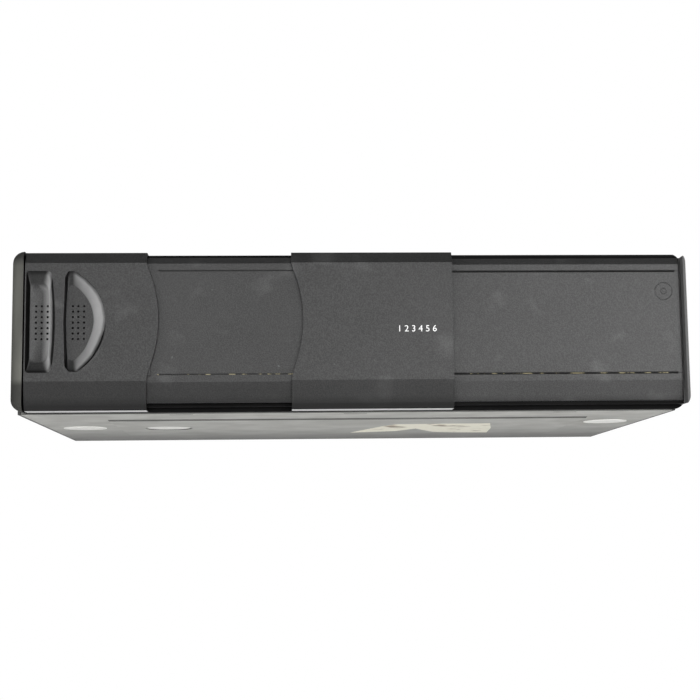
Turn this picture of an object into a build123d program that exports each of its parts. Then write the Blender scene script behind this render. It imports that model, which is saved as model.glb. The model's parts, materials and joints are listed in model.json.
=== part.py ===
from build123d import *
import os
from math import cos, pi, radians, sin

os.makedirs("parts", exist_ok=True)

# ---------------------------------------------------------------- driving dimensions (mm)
WIDTH = 255.0
DEPTH = 165.0
CAP_TOP = 61.2
LEFT, RIGHT = -WIDTH / 2, WIDTH / 2
FRONT, BACK = -DEPTH / 2, DEPTH / 2

# front frame: depths are measured back from the front plane of the raised covers
FRAME_DEEP = 12.0
FRAME_LOW = 1.0
WEB_DEEP = 6.4
CAP_W = 4.4
CORNER_R = 4.5
RIM_TOP = 60.9
RAIL_TOP, TOP_CHANNEL = 59.0, 9.3
RAIL_LOW, LOW_CHANNEL = 2.7, 10.4
SLOT = (-116.0, 20.0, 15.4, 51.8)
POST_LEFT, POST_DEEP = 126.2, 1.6

# raised covers: a bent profile with a lip above and a lip below
COVER_TOP, COVER_LOW = 60.6, 1.2
BEND_TOP, BEND_LOW = 56.4, 11.95
COVER_T = 1.4
LIP_T = 1.2
GRIP_LEFT, GRIP_RIGHT = -122.5, -77.4
OUTER_LEFT, OUTER_RIGHT = -23.4, 37.4
BULGE = ((0.0, 12.0), (0.8, 15.7), (2.0, 19.4), (3.2, 24.0), (4.1, 29.5), (4.35, 35.4),
         (4.0, 41.0), (3.1, 46.0), (1.9, 50.5), (0.6, 54.0), (0.0, 56.4))

# recessed panels
MIDDLE_FACE, MIDDLE_T, MIDDLE_RIGHT = 1.8, 1.3, -15.6
PANEL_FACE, PANEL_LEFT, PANEL_RIGHT = 4.6, 21.0, 125.4
PANEL_TOP, PANEL_LOW = 58.8, 3.9
GROOVE_Z = (14.45, 53.65)
GROOVE_W, GROOVE_DEEP = 0.5, 0.5
POCKET_DEEP, POCKET_BACK = 3.2, 4.3
RECESS_CORNER_R = 1.1
POCKET_LOW, POCKET_HIGH = 15.2, 53.4

# sheet steel case
SHEET = 1.0
CASE_LEFT, CASE_RIGHT = -126.5, 124.0
CASE_TOP, PLATE_LOW = 60.4, 0.6
CASE_FRONT = FRONT + FRAME_DEEP
REAR_OUT = BACK - 0.8
EMBOSS = (-96.0, 95.5, -44.0, 38.5)
SEAL_R, SEAL_T = 9.0, 0.2
SEALS = ((-110.5, -1.5), (108.4, -18.4))
DISHED_SEAL = (-75.0, -4.1)
LABEL_T = 0.15
SIDE_HOLES = [(y, z) for y in (-45.0, 25.0) for z in (15.0, 45.0)]
SIDE_HOLE_R = 2.1
REAR_SCREWS = (-118.0, -20.0, 40.0, 116.0)

# floating mechanism
FLOOR_Z, FLOOR_T = 3.2, 1.0
FEET = ((-108.0, -58.0), (-108.0, 70.0), (108.0, 70.0), (108.0, -63.0))
FOOT_Z = 9.0
SHELF_Z = 14.74
POSTS = ((112.0, -50.0), (112.0, 44.0), (52.0, -50.0))
POST_R, POST_TOP = 2.0, 57.5
RUN = 0.06

# magazine, trays and discs
MAG = (-114.5, 18.5, -74.0, 59.0, 16.0, 51.0)
MAG_WALL = 1.5
TRAYS, PITCH, TRAY_Z = 6, 5.2, 18.2
TRAY_FLOOR, TRAY_H, TRAY_FRONT = 0.8, 2.4, -70.0
DISC_R, DISC_HOLE, DISC_T = 60.0, 7.5, 1.2
DISC_X, DISC_Y = -48.0, -7.5

# lifting deck at its lowest level
DECK = (48.0, 118.0, -58.0, 54.0)
DECK_Z, DECK_T = 11.0, 1.2
SPIN_X, SPIN_Y = 62.0, -7.5
SCREW_XY, SCREW_R = (92.0, 47.0), 2.0
MOTOR_XY, PULLEY_R, SMALL_R, BELT_T = (92.0, 70.0), 6.0, 3.0, 0.8
SLED_ROD_X, SLED_SCREW_X, ROD_R, ROD_Z = (53.0, 71.0), 80.0, 1.2, 15.0
BUTTON = (-121.6, -117.4, 26.0, 38.0)
DIAL_Y, DIAL_Z, DIAL_R, DIAL_SHAFT = 60.0, 30.0, 11.0, 3.0


def block(x0, x1, y0, y1, z0, z1, mode=Mode.ADD):
    """Add or cut a box between two corners."""
    with Locations(((x0 + x1) / 2, (y0 + y1) / 2, (z0 + z1) / 2)):
        Box(x1 - x0, y1 - y0, z1 - z0, mode=mode)


def peg(x, y, z0, z1, r, mode=Mode.ADD):
    """Add or cut an upright cylinder."""
    with Locations((x, y, (z0 + z1) / 2)):
        Cylinder(r, z1 - z0, mode=mode)


def peg_y(x, z, y0, y1, r, mode=Mode.ADD):
    """Add or cut a cylinder that runs front to back."""
    with Locations(Location((x, (y0 + y1) / 2, z), (90, 0, 0))):
        Cylinder(r, y1 - y0, mode=mode)


def peg_x(y, z, x0, x1, r, mode=Mode.ADD):
    """Add or cut a cylinder that runs left to right."""
    with Locations(Location(((x0 + x1) / 2, y, z), (0, 90, 0))):
        Cylinder(r, x1 - x0, mode=mode)


def depth_profile(points, x0, x1):
    """Extrude an outline of (depth, height) points from x0 to x1."""
    with BuildSketch(Plane.YZ.offset(x0)) as side:
        with BuildLine():
            Polyline(*[(FRONT + d, z) for d, z in points], close=True)
        make_face()
    extrude(side.sketch, amount=x1 - x0)


def keep_front_outline(left, right, bulge_left, bulge_right):
    """Trim a cover to its front outline, with a bulged left or right edge."""
    rise = [(left + (dx if bulge_left else 0), z) for dx, z in BULGE]
    fall = [(right + (dx if bulge_right else 0), z) for dx, z in BULGE]
    with BuildSketch(Plane.XZ.offset(-BACK)) as outline:
        with BuildLine():
            Line((left, 0), rise[0])
            Spline(*rise) if bulge_left else Line(rise[0], rise[-1])
            Line(rise[-1], (left, CAP_TOP))
            Line((left, CAP_TOP), (right, CAP_TOP))
            Line((right, CAP_TOP), fall[-1])
            Spline(*fall[::-1]) if bulge_right else Line(fall[-1], fall[0])
            Line(fall[0], (right, 0))
            Line((right, 0), (left, 0))
        make_face()
    extrude(outline.sketch, amount=DEPTH, mode=Mode.INTERSECT)


COVER = ((TOP_CHANNEL - 0.3, COVER_TOP), (2.2, COVER_TOP), (0, BEND_TOP), (0, BEND_LOW),
         (1.3, 3.4), (2.9, COVER_LOW), (LOW_CHANNEL - 0.4, COVER_LOW),
         (LOW_CHANNEL - 0.4, COVER_LOW + LIP_T), (3.5, COVER_LOW + LIP_T), (2.65, 3.9),
         (COVER_T, BEND_LOW), (COVER_T, BEND_TOP), (2.9, COVER_TOP - LIP_T),
         (TOP_CHANNEL - 0.3, COVER_TOP - LIP_T))
MIDDLE_BACK = MIDDLE_FACE + MIDDLE_T
MIDDLE = ((3.2, PANEL_TOP), (MIDDLE_FACE, BEND_TOP), (MIDDLE_FACE, 11.6), (3.0, PANEL_LOW),
          (POCKET_BACK, PANEL_LOW), (MIDDLE_BACK, 11.6), (MIDDLE_BACK, BEND_TOP),
          (POCKET_BACK, PANEL_TOP))
PANEL = ((5.9, PANEL_TOP), (PANEL_FACE, BEND_TOP), (PANEL_FACE, 11.7), (5.8, PANEL_LOW),
         (WEB_DEEP, PANEL_LOW), (WEB_DEEP, PANEL_TOP))
WEB_Y = FRONT + WEB_DEEP
CAP_RIGHT = LEFT + CAP_W

# front frame: end cap, web behind the doors, rims above and below, magazine slot
with BuildPart() as front_frame:
    block(LEFT, RIGHT, FRONT, CASE_FRONT, FRAME_LOW, CAP_TOP)
    edges_y = front_frame.edges().filter_by(Axis.Y)
    fillet(edges_y, CORNER_R)
    left_front = front_frame.edges().filter_by(Axis.Z).group_by(Axis.X)[0].sort_by(Axis.Y)[0]
    fillet(left_front, 3.0)
    block(CAP_RIGHT, POST_LEFT, FRONT, WEB_Y, 0, CAP_TOP, Mode.SUBTRACT)
    block(POST_LEFT, RIGHT, FRONT, FRONT + POST_DEEP, 0, CAP_TOP, Mode.SUBTRACT)
    block(CAP_RIGHT, RIGHT, FRONT, FRONT + TOP_CHANNEL, RAIL_TOP, CAP_TOP, Mode.SUBTRACT)
    block(CAP_RIGHT, RIGHT, FRONT, FRONT + LOW_CHANNEL, 0, RAIL_LOW, Mode.SUBTRACT)
    block(CAP_RIGHT, RIGHT, FRONT, CASE_FRONT, RIM_TOP, CAP_TOP, Mode.SUBTRACT)
    block(SLOT[0], SLOT[1], FRONT, CASE_FRONT, SLOT[2], SLOT[3], Mode.SUBTRACT)
    block(BUTTON[0] - 0.2, BUTTON[1] + 0.2, FRONT, CASE_FRONT, BUTTON[2] - 0.2, BUTTON[3] + 0.2,
          Mode.SUBTRACT)
front_frame.part.label = "front_frame"
export_step(front_frame.part, "parts/front_frame.step")

# fixed panel at the right, with two long grooves
with BuildPart() as right_front_panel:
    depth_profile(PANEL, PANEL_LEFT, PANEL_RIGHT)
    for z in GROOVE_Z:
        block(PANEL_LEFT, 123.5, FRONT, FRONT + PANEL_FACE + GROOVE_DEEP,
              z - GROOVE_W / 2, z + GROOVE_W / 2, Mode.SUBTRACT)
right_front_panel.part.label = "right_front_panel"
export_step(right_front_panel.part, "parts/right_front_panel.step")

# inner door: raised grip section with two finger recesses, and the recessed middle panel
with BuildPart() as inner_door:
    depth_profile(COVER, GRIP_LEFT, GRIP_RIGHT + 5)
    keep_front_outline(GRIP_LEFT, GRIP_RIGHT, False, True)
    block(GRIP_LEFT, -91.0, FRONT + 1, FRONT + POCKET_BACK, 14.0, 54.6)
    block(-96.0, -76.0, FRONT + 1, FRONT + MIDDLE_BACK, 14.0, 54.6)
    depth_profile(MIDDLE, -90.0, MIDDLE_RIGHT)
    for z in GROOVE_Z:
        block(-73.0, MIDDLE_RIGHT, FRONT, FRONT + MIDDLE_FACE + GROOVE_DEEP,
              z - GROOVE_W / 2, z + GROOVE_W / 2, Mode.SUBTRACT)
    with BuildSketch(Plane.XZ.offset(-FRONT)) as recesses:
        with BuildLine():
            Polyline((GRIP_LEFT + 0.5, POCKET_LOW), (GRIP_LEFT + 0.5, POCKET_HIGH),
                     (-113.5, POCKET_HIGH), (-112.5, 52.2))
            ThreePointArc((-112.5, 52.2), (-111.2, 34.5), (-112.2, 16.6))
            Polyline((-112.2, 16.6), (-113.4, POCKET_LOW), (GRIP_LEFT + 0.5, POCKET_LOW))
        make_face()
        with BuildLine():
            Polyline((-106.1, 15.6), (-107.5, 17.6), (-108.1, 34.0), (-107.6, 51.0),
                     (-106.6, 53.2), (-104.5, POCKET_HIGH))
            ThreePointArc((-104.5, POCKET_HIGH), (-92.6, 35.5), (-103.1, 15.4))
            Line((-103.1, 15.4), (-106.1, 15.6))
        make_face()
        fillet(recesses.vertices(), RECESS_CORNER_R)
    extrude(amount=-POCKET_DEEP, mode=Mode.SUBTRACT)
inner_door.part.label = "inner_door"
export_step(inner_door.part, "parts/inner_door.step")

# outer door: raised centre cover that nests with the grip section
with BuildPart() as outer_door:
    depth_profile(COVER, OUTER_LEFT, OUTER_RIGHT)
    keep_front_outline(OUTER_LEFT, OUTER_RIGHT, True, False)
outer_door.part.label = "outer_door"
export_step(outer_door.part, "parts/outer_door.step")

# top cover: roof and both sides, with the side mounting holes and the dial holes
with BuildPart() as top_cover:
    block(CASE_LEFT, CASE_RIGHT, CASE_FRONT, REAR_OUT - SHEET, PLATE_LOW, CASE_TOP)
    block(CASE_LEFT + SHEET, CASE_RIGHT - SHEET, CASE_FRONT, BACK, 0, CASE_TOP - SHEET,
          Mode.SUBTRACT)
    for x in REAR_SCREWS:
        block(x - 4, x + 4, REAR_OUT - SHEET - 1.5, REAR_OUT - SHEET, 48.0, CASE_TOP - 0.5)
        peg_y(x, 52.0, 70.0, BACK, 1.5, Mode.SUBTRACT)
    for y, z in SIDE_HOLES:
        peg_x(y, z, CASE_LEFT - 1, CASE_RIGHT + 1, SIDE_HOLE_R, Mode.SUBTRACT)
    peg_x(DIAL_Y, DIAL_Z, CASE_LEFT - 1, CASE_RIGHT + 1, DIAL_SHAFT + RUN, Mode.SUBTRACT)
top_cover.part.label = "top_cover"
export_step(top_cover.part, "parts/top_cover.step")

# bottom plate: one pressed rectangle, a dish for a transit screw, small slots
PLATE_LEFT, PLATE_RIGHT = CASE_LEFT + SHEET + 0.2, CASE_RIGHT - SHEET - 0.2
LABEL = ((3.5, 30.5), (9.0, 12.0), (15.0, -6.0), (20.0, -17.9), (40.0, -19.2), (59.7, -19.5),
         (64.0, 8.0), (66.0, 36.0), (53.0, 34.0), (41.0, 30.0), (31.0, 8.5), (23.0, 23.5))
with BuildPart() as bottom_plate:
    block(PLATE_LEFT, PLATE_RIGHT, CASE_FRONT, REAR_OUT - SHEET, PLATE_LOW, PLATE_LOW + SHEET)
    block(*EMBOSS, 0, PLATE_LOW + SHEET)
    bottom_edges = bottom_plate.faces().sort_by(Axis.Z)[0].edges()
    chamfer(bottom_edges, PLATE_LOW - 0.05)
    block(EMBOSS[0] + 1, EMBOSS[1] - 1, EMBOSS[2] + 1, EMBOSS[3] - 1, SHEET, 3, Mode.SUBTRACT)
    peg(*DISHED_SEAL, -1, 0.4, SEAL_R + 1.0, Mode.SUBTRACT)
    peg(*DISHED_SEAL, 0.4, 3, 2.6, Mode.SUBTRACT)
    for x, y in SEALS:
        peg(x, y, -1, 3, 2.6, Mode.SUBTRACT)
    for x, y in ((-65.5, -66.0), (1.0, -66.5), (82.0, -66.5)):
        block(x - 4.5, x + 4.5, y - 0.8, y + 0.8, -1, 3, Mode.SUBTRACT)
    with BuildSketch(Plane.XY):
        with BuildLine():
            Polyline(*LABEL, close=True)
        make_face()
    extrude(amount=LABEL_T, mode=Mode.SUBTRACT)
bottom_plate.part.label = "bottom_plate"
export_step(bottom_plate.part, "parts/bottom_plate.step")

# round seals over the transit screw holes
with BuildPart() as bottom_seals:
    for x, y in SEALS:
        peg(x, y, PLATE_LOW - SEAL_T, PLATE_LOW, SEAL_R)
    peg(*DISHED_SEAL, 0.4 - SEAL_T, 0.4, SEAL_R)
bottom_seals.part.label = "bottom_seals"
export_step(bottom_seals.part, "parts/bottom_seals.step")

# torn paper label, lying flush under the pressed rectangle
with BuildPart() as torn_label:
    with BuildSketch(Plane.XY):
        with BuildLine():
            Polyline(*LABEL, close=True)
        make_face()
    extrude(amount=LABEL_T)
torn_label.part.label = "torn_label"
export_step(torn_label.part, "parts/torn_label.step")

# rear panel with its socket opening
SOCKET = (-100.0, -62.0, 20.0, 34.0)
with BuildPart() as rear_panel:
    block(CASE_LEFT, CASE_RIGHT, REAR_OUT - SHEET, REAR_OUT, PLATE_LOW, CASE_TOP)
    block(SOCKET[0], SOCKET[1], FRONT, BACK, SOCKET[2], SOCKET[3], Mode.SUBTRACT)
    for x in REAR_SCREWS:
        peg_y(x, 52.0, 70.0, BACK, 1.5 + RUN, Mode.SUBTRACT)
rear_panel.part.label = "rear_panel"
export_step(rear_panel.part, "parts/rear_panel.step")

# screws that hold the rear panel
with BuildPart() as case_screws:
    for x in REAR_SCREWS:
        peg_y(x, 52.0, REAR_OUT, BACK, 2.8)
        peg_y(x, 52.0, REAR_OUT - 5, REAR_OUT + 0.2, 1.5)
        block(x - 1.6, x + 1.6, BACK - 0.5, BACK, 51.7, 52.3, Mode.SUBTRACT)
        block(x - 0.3, x + 0.3, BACK - 0.5, BACK, 50.4, 53.6, Mode.SUBTRACT)
case_screws.part.label = "case_screws"
export_step(case_screws.part, "parts/case_screws.step")

# socket for the data and power plug: an open shell with two rows of pins
with BuildPart() as rear_socket:
    block(SOCKET[0], SOCKET[1], 69.0, BACK, SOCKET[2], SOCKET[3])
    block(SOCKET[0] + 1.5, SOCKET[1] - 1.5, 71.0, BACK, SOCKET[2] + 1.5, SOCKET[3] - 1.5,
          Mode.SUBTRACT)
    block(-83.0, -79.0, 71.0, BACK, SOCKET[3] - 2, SOCKET[3] - 0.8, Mode.SUBTRACT)
rear_socket.part.label = "rear_socket"
export_step(rear_socket.part, "parts/rear_socket.step")

with BuildPart() as socket_pins:
    for k in range(8):
        for z in (24.5, 29.5):
            block(-95.4 + 4 * k, -94.6 + 4 * k, 71.0, 77.0, z - 0.4, z + 0.4)
socket_pins.part.label = "socket_pins"
export_step(socket_pins.part, "parts/socket_pins.step")

# suspension: four rubber feet with a coil spring round each
with BuildPart() as suspension_dampers:
    for x, y in FEET:
        peg(x, y, PLATE_LOW + SHEET, FOOT_Z, 3.5)
suspension_dampers.part.label = "suspension_dampers"
export_step(suspension_dampers.part, "parts/suspension_dampers.step")

SPRING_R, WIRE_R = 4.8, 0.4
SPRING_LOW, SPRING_HIGH = PLATE_LOW + SHEET + WIRE_R, FOOT_Z - WIRE_R
with BuildPart() as suspension_springs:
    for x, y in FEET:
        path = Helix((SPRING_HIGH - SPRING_LOW) / 4, SPRING_HIGH - SPRING_LOW, SPRING_R,
                     center=(x, y, SPRING_LOW), mode=Mode.PRIVATE)
        with BuildSketch(Plane(path @ 0, z_dir=path % 0)) as wire:
            Circle(WIRE_R)
        sweep(wire.sketch, path=path, is_frenet=True)
suspension_springs.part.label = "suspension_springs"
export_step(suspension_springs.part, "parts/suspension_springs.step")

# floating chassis: floor, cups over the feet, magazine shelf, rear wall, small pins
with BuildPart() as chassis:
    block(-119.0, 119.0, -68.0, 74.0, FLOOR_Z, FLOOR_Z + FLOOR_T)
    for x, y in FEET:
        peg(x, y, FLOOR_Z - 0.1, FOOT_Z + 1.2, 7.2)
        peg(x, y, 0, FOOT_Z, 6.0, Mode.SUBTRACT)
    block(-119.0, -117.0, -36.0, 66.0, FLOOR_Z, 46.0)
    block(-116.5, 19.5, -68.0, 68.0, SHELF_Z, SHELF_Z + 1.2)
    block(-117.5, -115.0, -36.0, 66.0, SHELF_Z, SHELF_Z + 1.2)
    for x in (-100.0, -40.0, 17.5):
        block(x, x + 2, -68.0, -65.0, FLOOR_Z, SHELF_Z + 0.2)
        block(x, x + 2, 61.0, 68.0, FLOOR_Z, SHELF_Z + 0.2)
    block(-119.0, 30.0, 66.0, 68.0, SHELF_Z, 46.0)
    for x, y in ((-92.0, -54.0), (10.0, -54.0), (-92.0, 50.0), (10.0, 50.0)):
        peg(x, y, FLOOR_Z, 6.0, 2.5)
chassis.part.label = "chassis"
export_step(chassis.part, "parts/chassis.step")

# posts that guide the lifting deck
with BuildPart() as guide_posts:
    for x, y in POSTS:
        peg(x, y, FLOOR_Z + FLOOR_T, POST_TOP, POST_R)
guide_posts.part.label = "guide_posts"
export_step(guide_posts.part, "parts/guide_posts.step")

# button that frees the magazine, with the catch it pushes back
with BuildPart() as eject_button:
    block(BUTTON[0], BUTTON[1], FRONT + 4.9, -66.0, BUTTON[2], BUTTON[3])
    front_rim = eject_button.faces().sort_by(Axis.Y)[0].edges()
    fillet(front_rim, 0.6)
    block(BUTTON[0] - 0.9, BUTTON[1] + 0.2, -70.2, -68.0, BUTTON[2] - 1, BUTTON[3] + 1)
eject_button.part.label = "eject_button"
export_step(eject_button.part, "parts/eject_button.step")

with BuildPart() as magazine_latch:
    block(-121.2, -119.2, -66.0, -40.0, 27.6, 36.0)
    block(-119.4, -115.6, -43.0, -40.0, 27.6, 36.0)
    block(-119.4, -117.6, -66.0, -62.0, 27.6, 36.0)
magazine_latch.part.label = "magazine_latch"
export_step(magazine_latch.part, "parts/magazine_latch.step")

# magazine: open towards the deck, a pair of ledges under every tray
with BuildPart() as magazine_shell:
    block(*MAG)
    block(MAG[0] + MAG_WALL, MAG[1] + 1, MAG[2] + MAG_WALL, MAG[3] - MAG_WALL,
          MAG[4] + MAG_WALL, MAG[5] - MAG_WALL, Mode.SUBTRACT)
    for k in range(TRAYS):
        for y0, y1 in ((MAG[2] + MAG_WALL - 0.1, TRAY_FRONT + 1.2),
                       (MAG[3] - MAG_WALL - 1.1, MAG[3] - MAG_WALL + 0.1)):
            z = TRAY_Z + PITCH * k
            block(MAG[0] + 1, MAG[1] - 2, y0, y1, z - 0.6, z - RUN)
    block(-90.0, -10.0, MAG[2] - 0.2, MAG[2] + 0.8, 24.0, 43.0, Mode.SUBTRACT)
    block(-60.0, -40.0, -40.0, 30.0, MAG[5] - 0.5, MAG[5] + 1, Mode.SUBTRACT)
magazine_shell.part.label = "magazine_shell"
export_step(magazine_shell.part, "parts/magazine_shell.step")

# coil that pushes the magazine out
with BuildPart() as magazine_spring:
    path = Helix(1.0, 3.0, 3.0, center=(0, 0, 0), mode=Mode.PRIVATE)
    with BuildSketch(Plane(path @ 0, z_dir=path % 0)) as wire:
        Circle(0.35)
    sweep(wire.sketch, path=path, is_frenet=True)
coil = Location((-50.0, 65.65, 30.0), (90, 0, 0)) * magazine_spring.part
coil.label = "magazine_spring"
export_step(coil, "parts/magazine_spring.step")

# six trays, each cut out round the turntable, and the disc that lies in each
for k in range(TRAYS):
    z = TRAY_Z + PITCH * k
    with BuildPart() as tray:
        block(MAG[0] + MAG_WALL + 0.5, 14.8, TRAY_FRONT, MAG[3] - MAG_WALL - 0.2,
              z, z + TRAY_H)
        peg(DISC_X, DISC_Y, z + TRAY_FLOOR, z + 5, DISC_R + 1.0, Mode.SUBTRACT)
        peg(DISC_X, DISC_Y, z - 1, z + 5, 22.0, Mode.SUBTRACT)
        block(DISC_X, 16.0, DISC_Y - 22.0, DISC_Y + 22.0, z - 1, z + 5, Mode.SUBTRACT)
    tray.part.label = f"disc_tray_{k + 1}"
    export_step(tray.part, f"parts/disc_tray_{k + 1}.step")
    with BuildPart() as disc:
        peg(DISC_X, DISC_Y, z + TRAY_FLOOR, z + TRAY_FLOOR + DISC_T, DISC_R)
        peg(DISC_X, DISC_Y, z, z + 5, DISC_HOLE, Mode.SUBTRACT)
    disc.part.label = f"disc_{k + 1}"
    export_step(disc.part, f"parts/disc_{k + 1}.step")

# deck that rises past the trays
DECK_TOP = DECK_Z + DECK_T
CLAMP_X, CLAMP_Z, ARM_T = 110.0, 26.0, 2.0
with BuildPart() as elevator_deck:
    block(*DECK, DECK_Z, DECK_TOP)
    peg(SPIN_X, SPIN_Y, 0, 20, 9.0, Mode.SUBTRACT)
    block(57.0, 67.0, 8.0, 46.0, 0, 20, Mode.SUBTRACT)
    for x, y in POSTS:
        peg(x, y, DECK_Z, DECK_TOP + 5, POST_R + 1.6)
    peg(*SCREW_XY, DECK_Z, DECK_TOP + 5, SCREW_R + 1.8)
    for x, y in POSTS:
        peg(x, y, 0, 60, POST_R + RUN, Mode.SUBTRACT)
    peg(*SCREW_XY, 0, 60, SCREW_R + RUN, Mode.SUBTRACT)
    for x in SLED_ROD_X:
        for y in (5.0, 50.0):
            block(x - 2, x + 2, y, y + 2, DECK_TOP - 0.1, ROD_Z + 1.8)
            peg_y(x, ROD_Z, y - 1, y + 3, ROD_R, Mode.SUBTRACT)
    for y in (-24.0, 6.0):
        block(107.0, 113.0, y, y + 3, DECK_TOP - 0.1, CLAMP_Z + 3.4)
        peg_y(CLAMP_X, CLAMP_Z, y - 1, y + 4, 1.2, Mode.SUBTRACT)
elevator_deck.part.label = "elevator_deck"
export_step(elevator_deck.part, "parts/elevator_deck.step")

with BuildPart() as spindle_motor:
    peg(SPIN_X, SPIN_Y, 5.0, DECK_Z, 12.0)
    peg(SPIN_X, SPIN_Y, DECK_Z - 0.1, DECK_Z + 1.4, 8.9)
    peg(SPIN_X, SPIN_Y, 6.0, 20, 1.0 + RUN, Mode.SUBTRACT)
spindle_motor.part.label = "spindle_motor"
export_step(spindle_motor.part, "parts/spindle_motor.step")

with BuildPart() as turntable:
    peg(SPIN_X, SPIN_Y, 6.4, 17.0, 1.0)
    peg(SPIN_X, SPIN_Y, 16.6, 18.6, 13.0)
    peg(SPIN_X, SPIN_Y, 18.6, 20.0, 7.3)
    cone_top = turntable.faces().sort_by(Axis.Z)[-1].edges()
    chamfer(cone_top, 0.7)
    for k in range(3):
        block(SPIN_X + 4 * cos(2 * pi * k / 3) - 0.8, SPIN_X + 4 * cos(2 * pi * k / 3) + 0.8,
              SPIN_Y + 4 * sin(2 * pi * k / 3) - 0.8, SPIN_Y + 4 * sin(2 * pi * k / 3) + 0.8,
              19.4, 21, Mode.SUBTRACT)
turntable.part.label = "turntable"
export_step(turntable.part, "parts/turntable.step")

# arm that carries the clamping puck over the turntable
with BuildPart() as clamper_arm:
    block(SPIN_X - 8, CLAMP_X, SPIN_Y - 8, SPIN_Y + 8, CLAMP_Z - 1, CLAMP_Z + 1)
    block(CLAMP_X - 6, CLAMP_X + 2.4, -20.6, 5.6, CLAMP_Z - 1, CLAMP_Z + 1)
    peg_y(CLAMP_X, CLAMP_Z, -20.6, 5.6, 2.4)
    peg_y(CLAMP_X, CLAMP_Z, -22.0, 7.0, 1.2 + RUN, Mode.SUBTRACT)
    peg(SPIN_X, SPIN_Y, 20, 30, 3.0, Mode.SUBTRACT)
    block(76.0, 100.0, SPIN_Y - 3.5, SPIN_Y + 3.5, 20, 30, Mode.SUBTRACT)
clamper_arm.part.label = "clamper_arm"
export_step(clamper_arm.part, "parts/clamper_arm.step")

with BuildPart() as clamper_pin:
    peg_y(CLAMP_X, CLAMP_Z, -25.0, 10.0, 1.2)
clamper_pin.part.label = "clamper_pin"
export_step(clamper_pin.part, "parts/clamper_pin.step")

with BuildPart() as clamp_puck:
    peg(SPIN_X, SPIN_Y, 21.2, 24.8, 12.0)
    peg(SPIN_X, SPIN_Y, 24.6, 27.4, 2.9)
    peg(SPIN_X, SPIN_Y, 27.2, 28.2, 4.5)
    peg(SPIN_X, SPIN_Y, 21, 22.4, 8.5, Mode.SUBTRACT)
clamp_puck.part.label = "clamp_puck"
export_step(clamp_puck.part, "parts/clamp_puck.step")

# pickup sled on two rods, moved by a screw with its own motor
SLED_Y, SLED_TRAVEL = (12.0, 24.0), 24.0
with BuildPart() as pickup_sled:
    block(50.6, 74.0, SLED_Y[0], SLED_Y[1], ROD_Z - 2.2, ROD_Z + 1.8)
    block(73.0, SLED_SCREW_X + 2.4, 15.0, 21.0, ROD_Z - 2.2, ROD_Z + 2.2)
    for x in SLED_ROD_X:
        peg_y(x, ROD_Z, 0, 40, ROD_R + RUN, Mode.SUBTRACT)
    peg_y(SLED_SCREW_X, ROD_Z, 0, 40, ROD_R + RUN, Mode.SUBTRACT)
pickup_sled.part.label = "pickup_sled"
export_step(pickup_sled.part, "parts/pickup_sled.step")

with BuildPart() as objective_lens:
    peg(SPIN_X, 18.0, ROD_Z + 1.8, ROD_Z + 2.4, 3.6)
    peg(SPIN_X, 18.0, ROD_Z + 2.3, ROD_Z + 2.9, 2.2)
objective_lens.part.label = "objective_lens"
export_step(objective_lens.part, "parts/objective_lens.step")

with BuildPart() as sled_rods:
    for x in SLED_ROD_X:
        peg_y(x, ROD_Z, 4.6, 52.4, ROD_R)
sled_rods.part.label = "sled_rods"
export_step(sled_rods.part, "parts/sled_rods.step")

with BuildPart() as sled_screw:
    peg_y(SLED_SCREW_X, ROD_Z, 2.0, 50.0, ROD_R)
    with BuildSketch(Plane.XZ.offset(-52.0)):
        with Locations((SLED_SCREW_X, ROD_Z)):
            RegularPolygon(2.4, 6)
    extrude(amount=2.0)
sled_screw.part.label = "sled_screw"
export_step(sled_screw.part, "parts/sled_screw.step")

with BuildPart() as sled_motor:
    block(SLED_SCREW_X - 4.4, SLED_SCREW_X + 4.4, -8.0, 4.0, DECK_TOP, ROD_Z + 4.4)
    motor_edges = sled_motor.edges().filter_by(Axis.Y)
    fillet(motor_edges, 2.0)
    peg_y(SLED_SCREW_X, ROD_Z, 1.8, 5.0, ROD_R + RUN, Mode.SUBTRACT)
sled_motor.part.label = "sled_motor"
export_step(sled_motor.part, "parts/sled_motor.step")

# lifting screw, its pulley, belt and motor
PULLEY_Z = (5.0, 8.0)
with BuildPart() as lift_screw:
    peg(*SCREW_XY, FLOOR_Z + FLOOR_T + 0.1, POST_TOP, SCREW_R)
    peg(*SCREW_XY, *PULLEY_Z, PULLEY_R)
    for k in range(6):
        turn = radians(60 * k)
        peg(SCREW_XY[0] + 4 * cos(turn), SCREW_XY[1] + 4 * sin(turn), 0, 10, 0.9, Mode.SUBTRACT)
lift_screw.part.label = "lift_screw"
export_step(lift_screw.part, "parts/lift_screw.step")

with BuildPart() as motor_pulley:
    peg(*MOTOR_XY, PULLEY_Z[0], 12.0, 1.0)
    peg(*MOTOR_XY, *PULLEY_Z, SMALL_R)
motor_pulley.part.label = "motor_pulley"
export_step(motor_pulley.part, "parts/motor_pulley.step")

BELT_LONG = MOTOR_XY[1] - SCREW_XY[1]
with BuildPart() as drive_belt:
    with BuildSketch(Plane.XY.offset(5.6)):
        with Locations(SCREW_XY):
            Circle(PULLEY_R + BELT_T)
        with Locations(MOTOR_XY):
            Circle(SMALL_R + BELT_T)
        make_hull()
    extrude(amount=1.8)
    with BuildSketch(Plane.XY.offset(5.6)):
        with Locations(SCREW_XY):
            Circle(PULLEY_R + RUN)
        with Locations(MOTOR_XY):
            Circle(SMALL_R + RUN)
        make_hull()
    extrude(amount=1.8, mode=Mode.SUBTRACT)
drive_belt.part.label = "drive_belt"
export_step(drive_belt.part, "parts/drive_belt.step")

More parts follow.
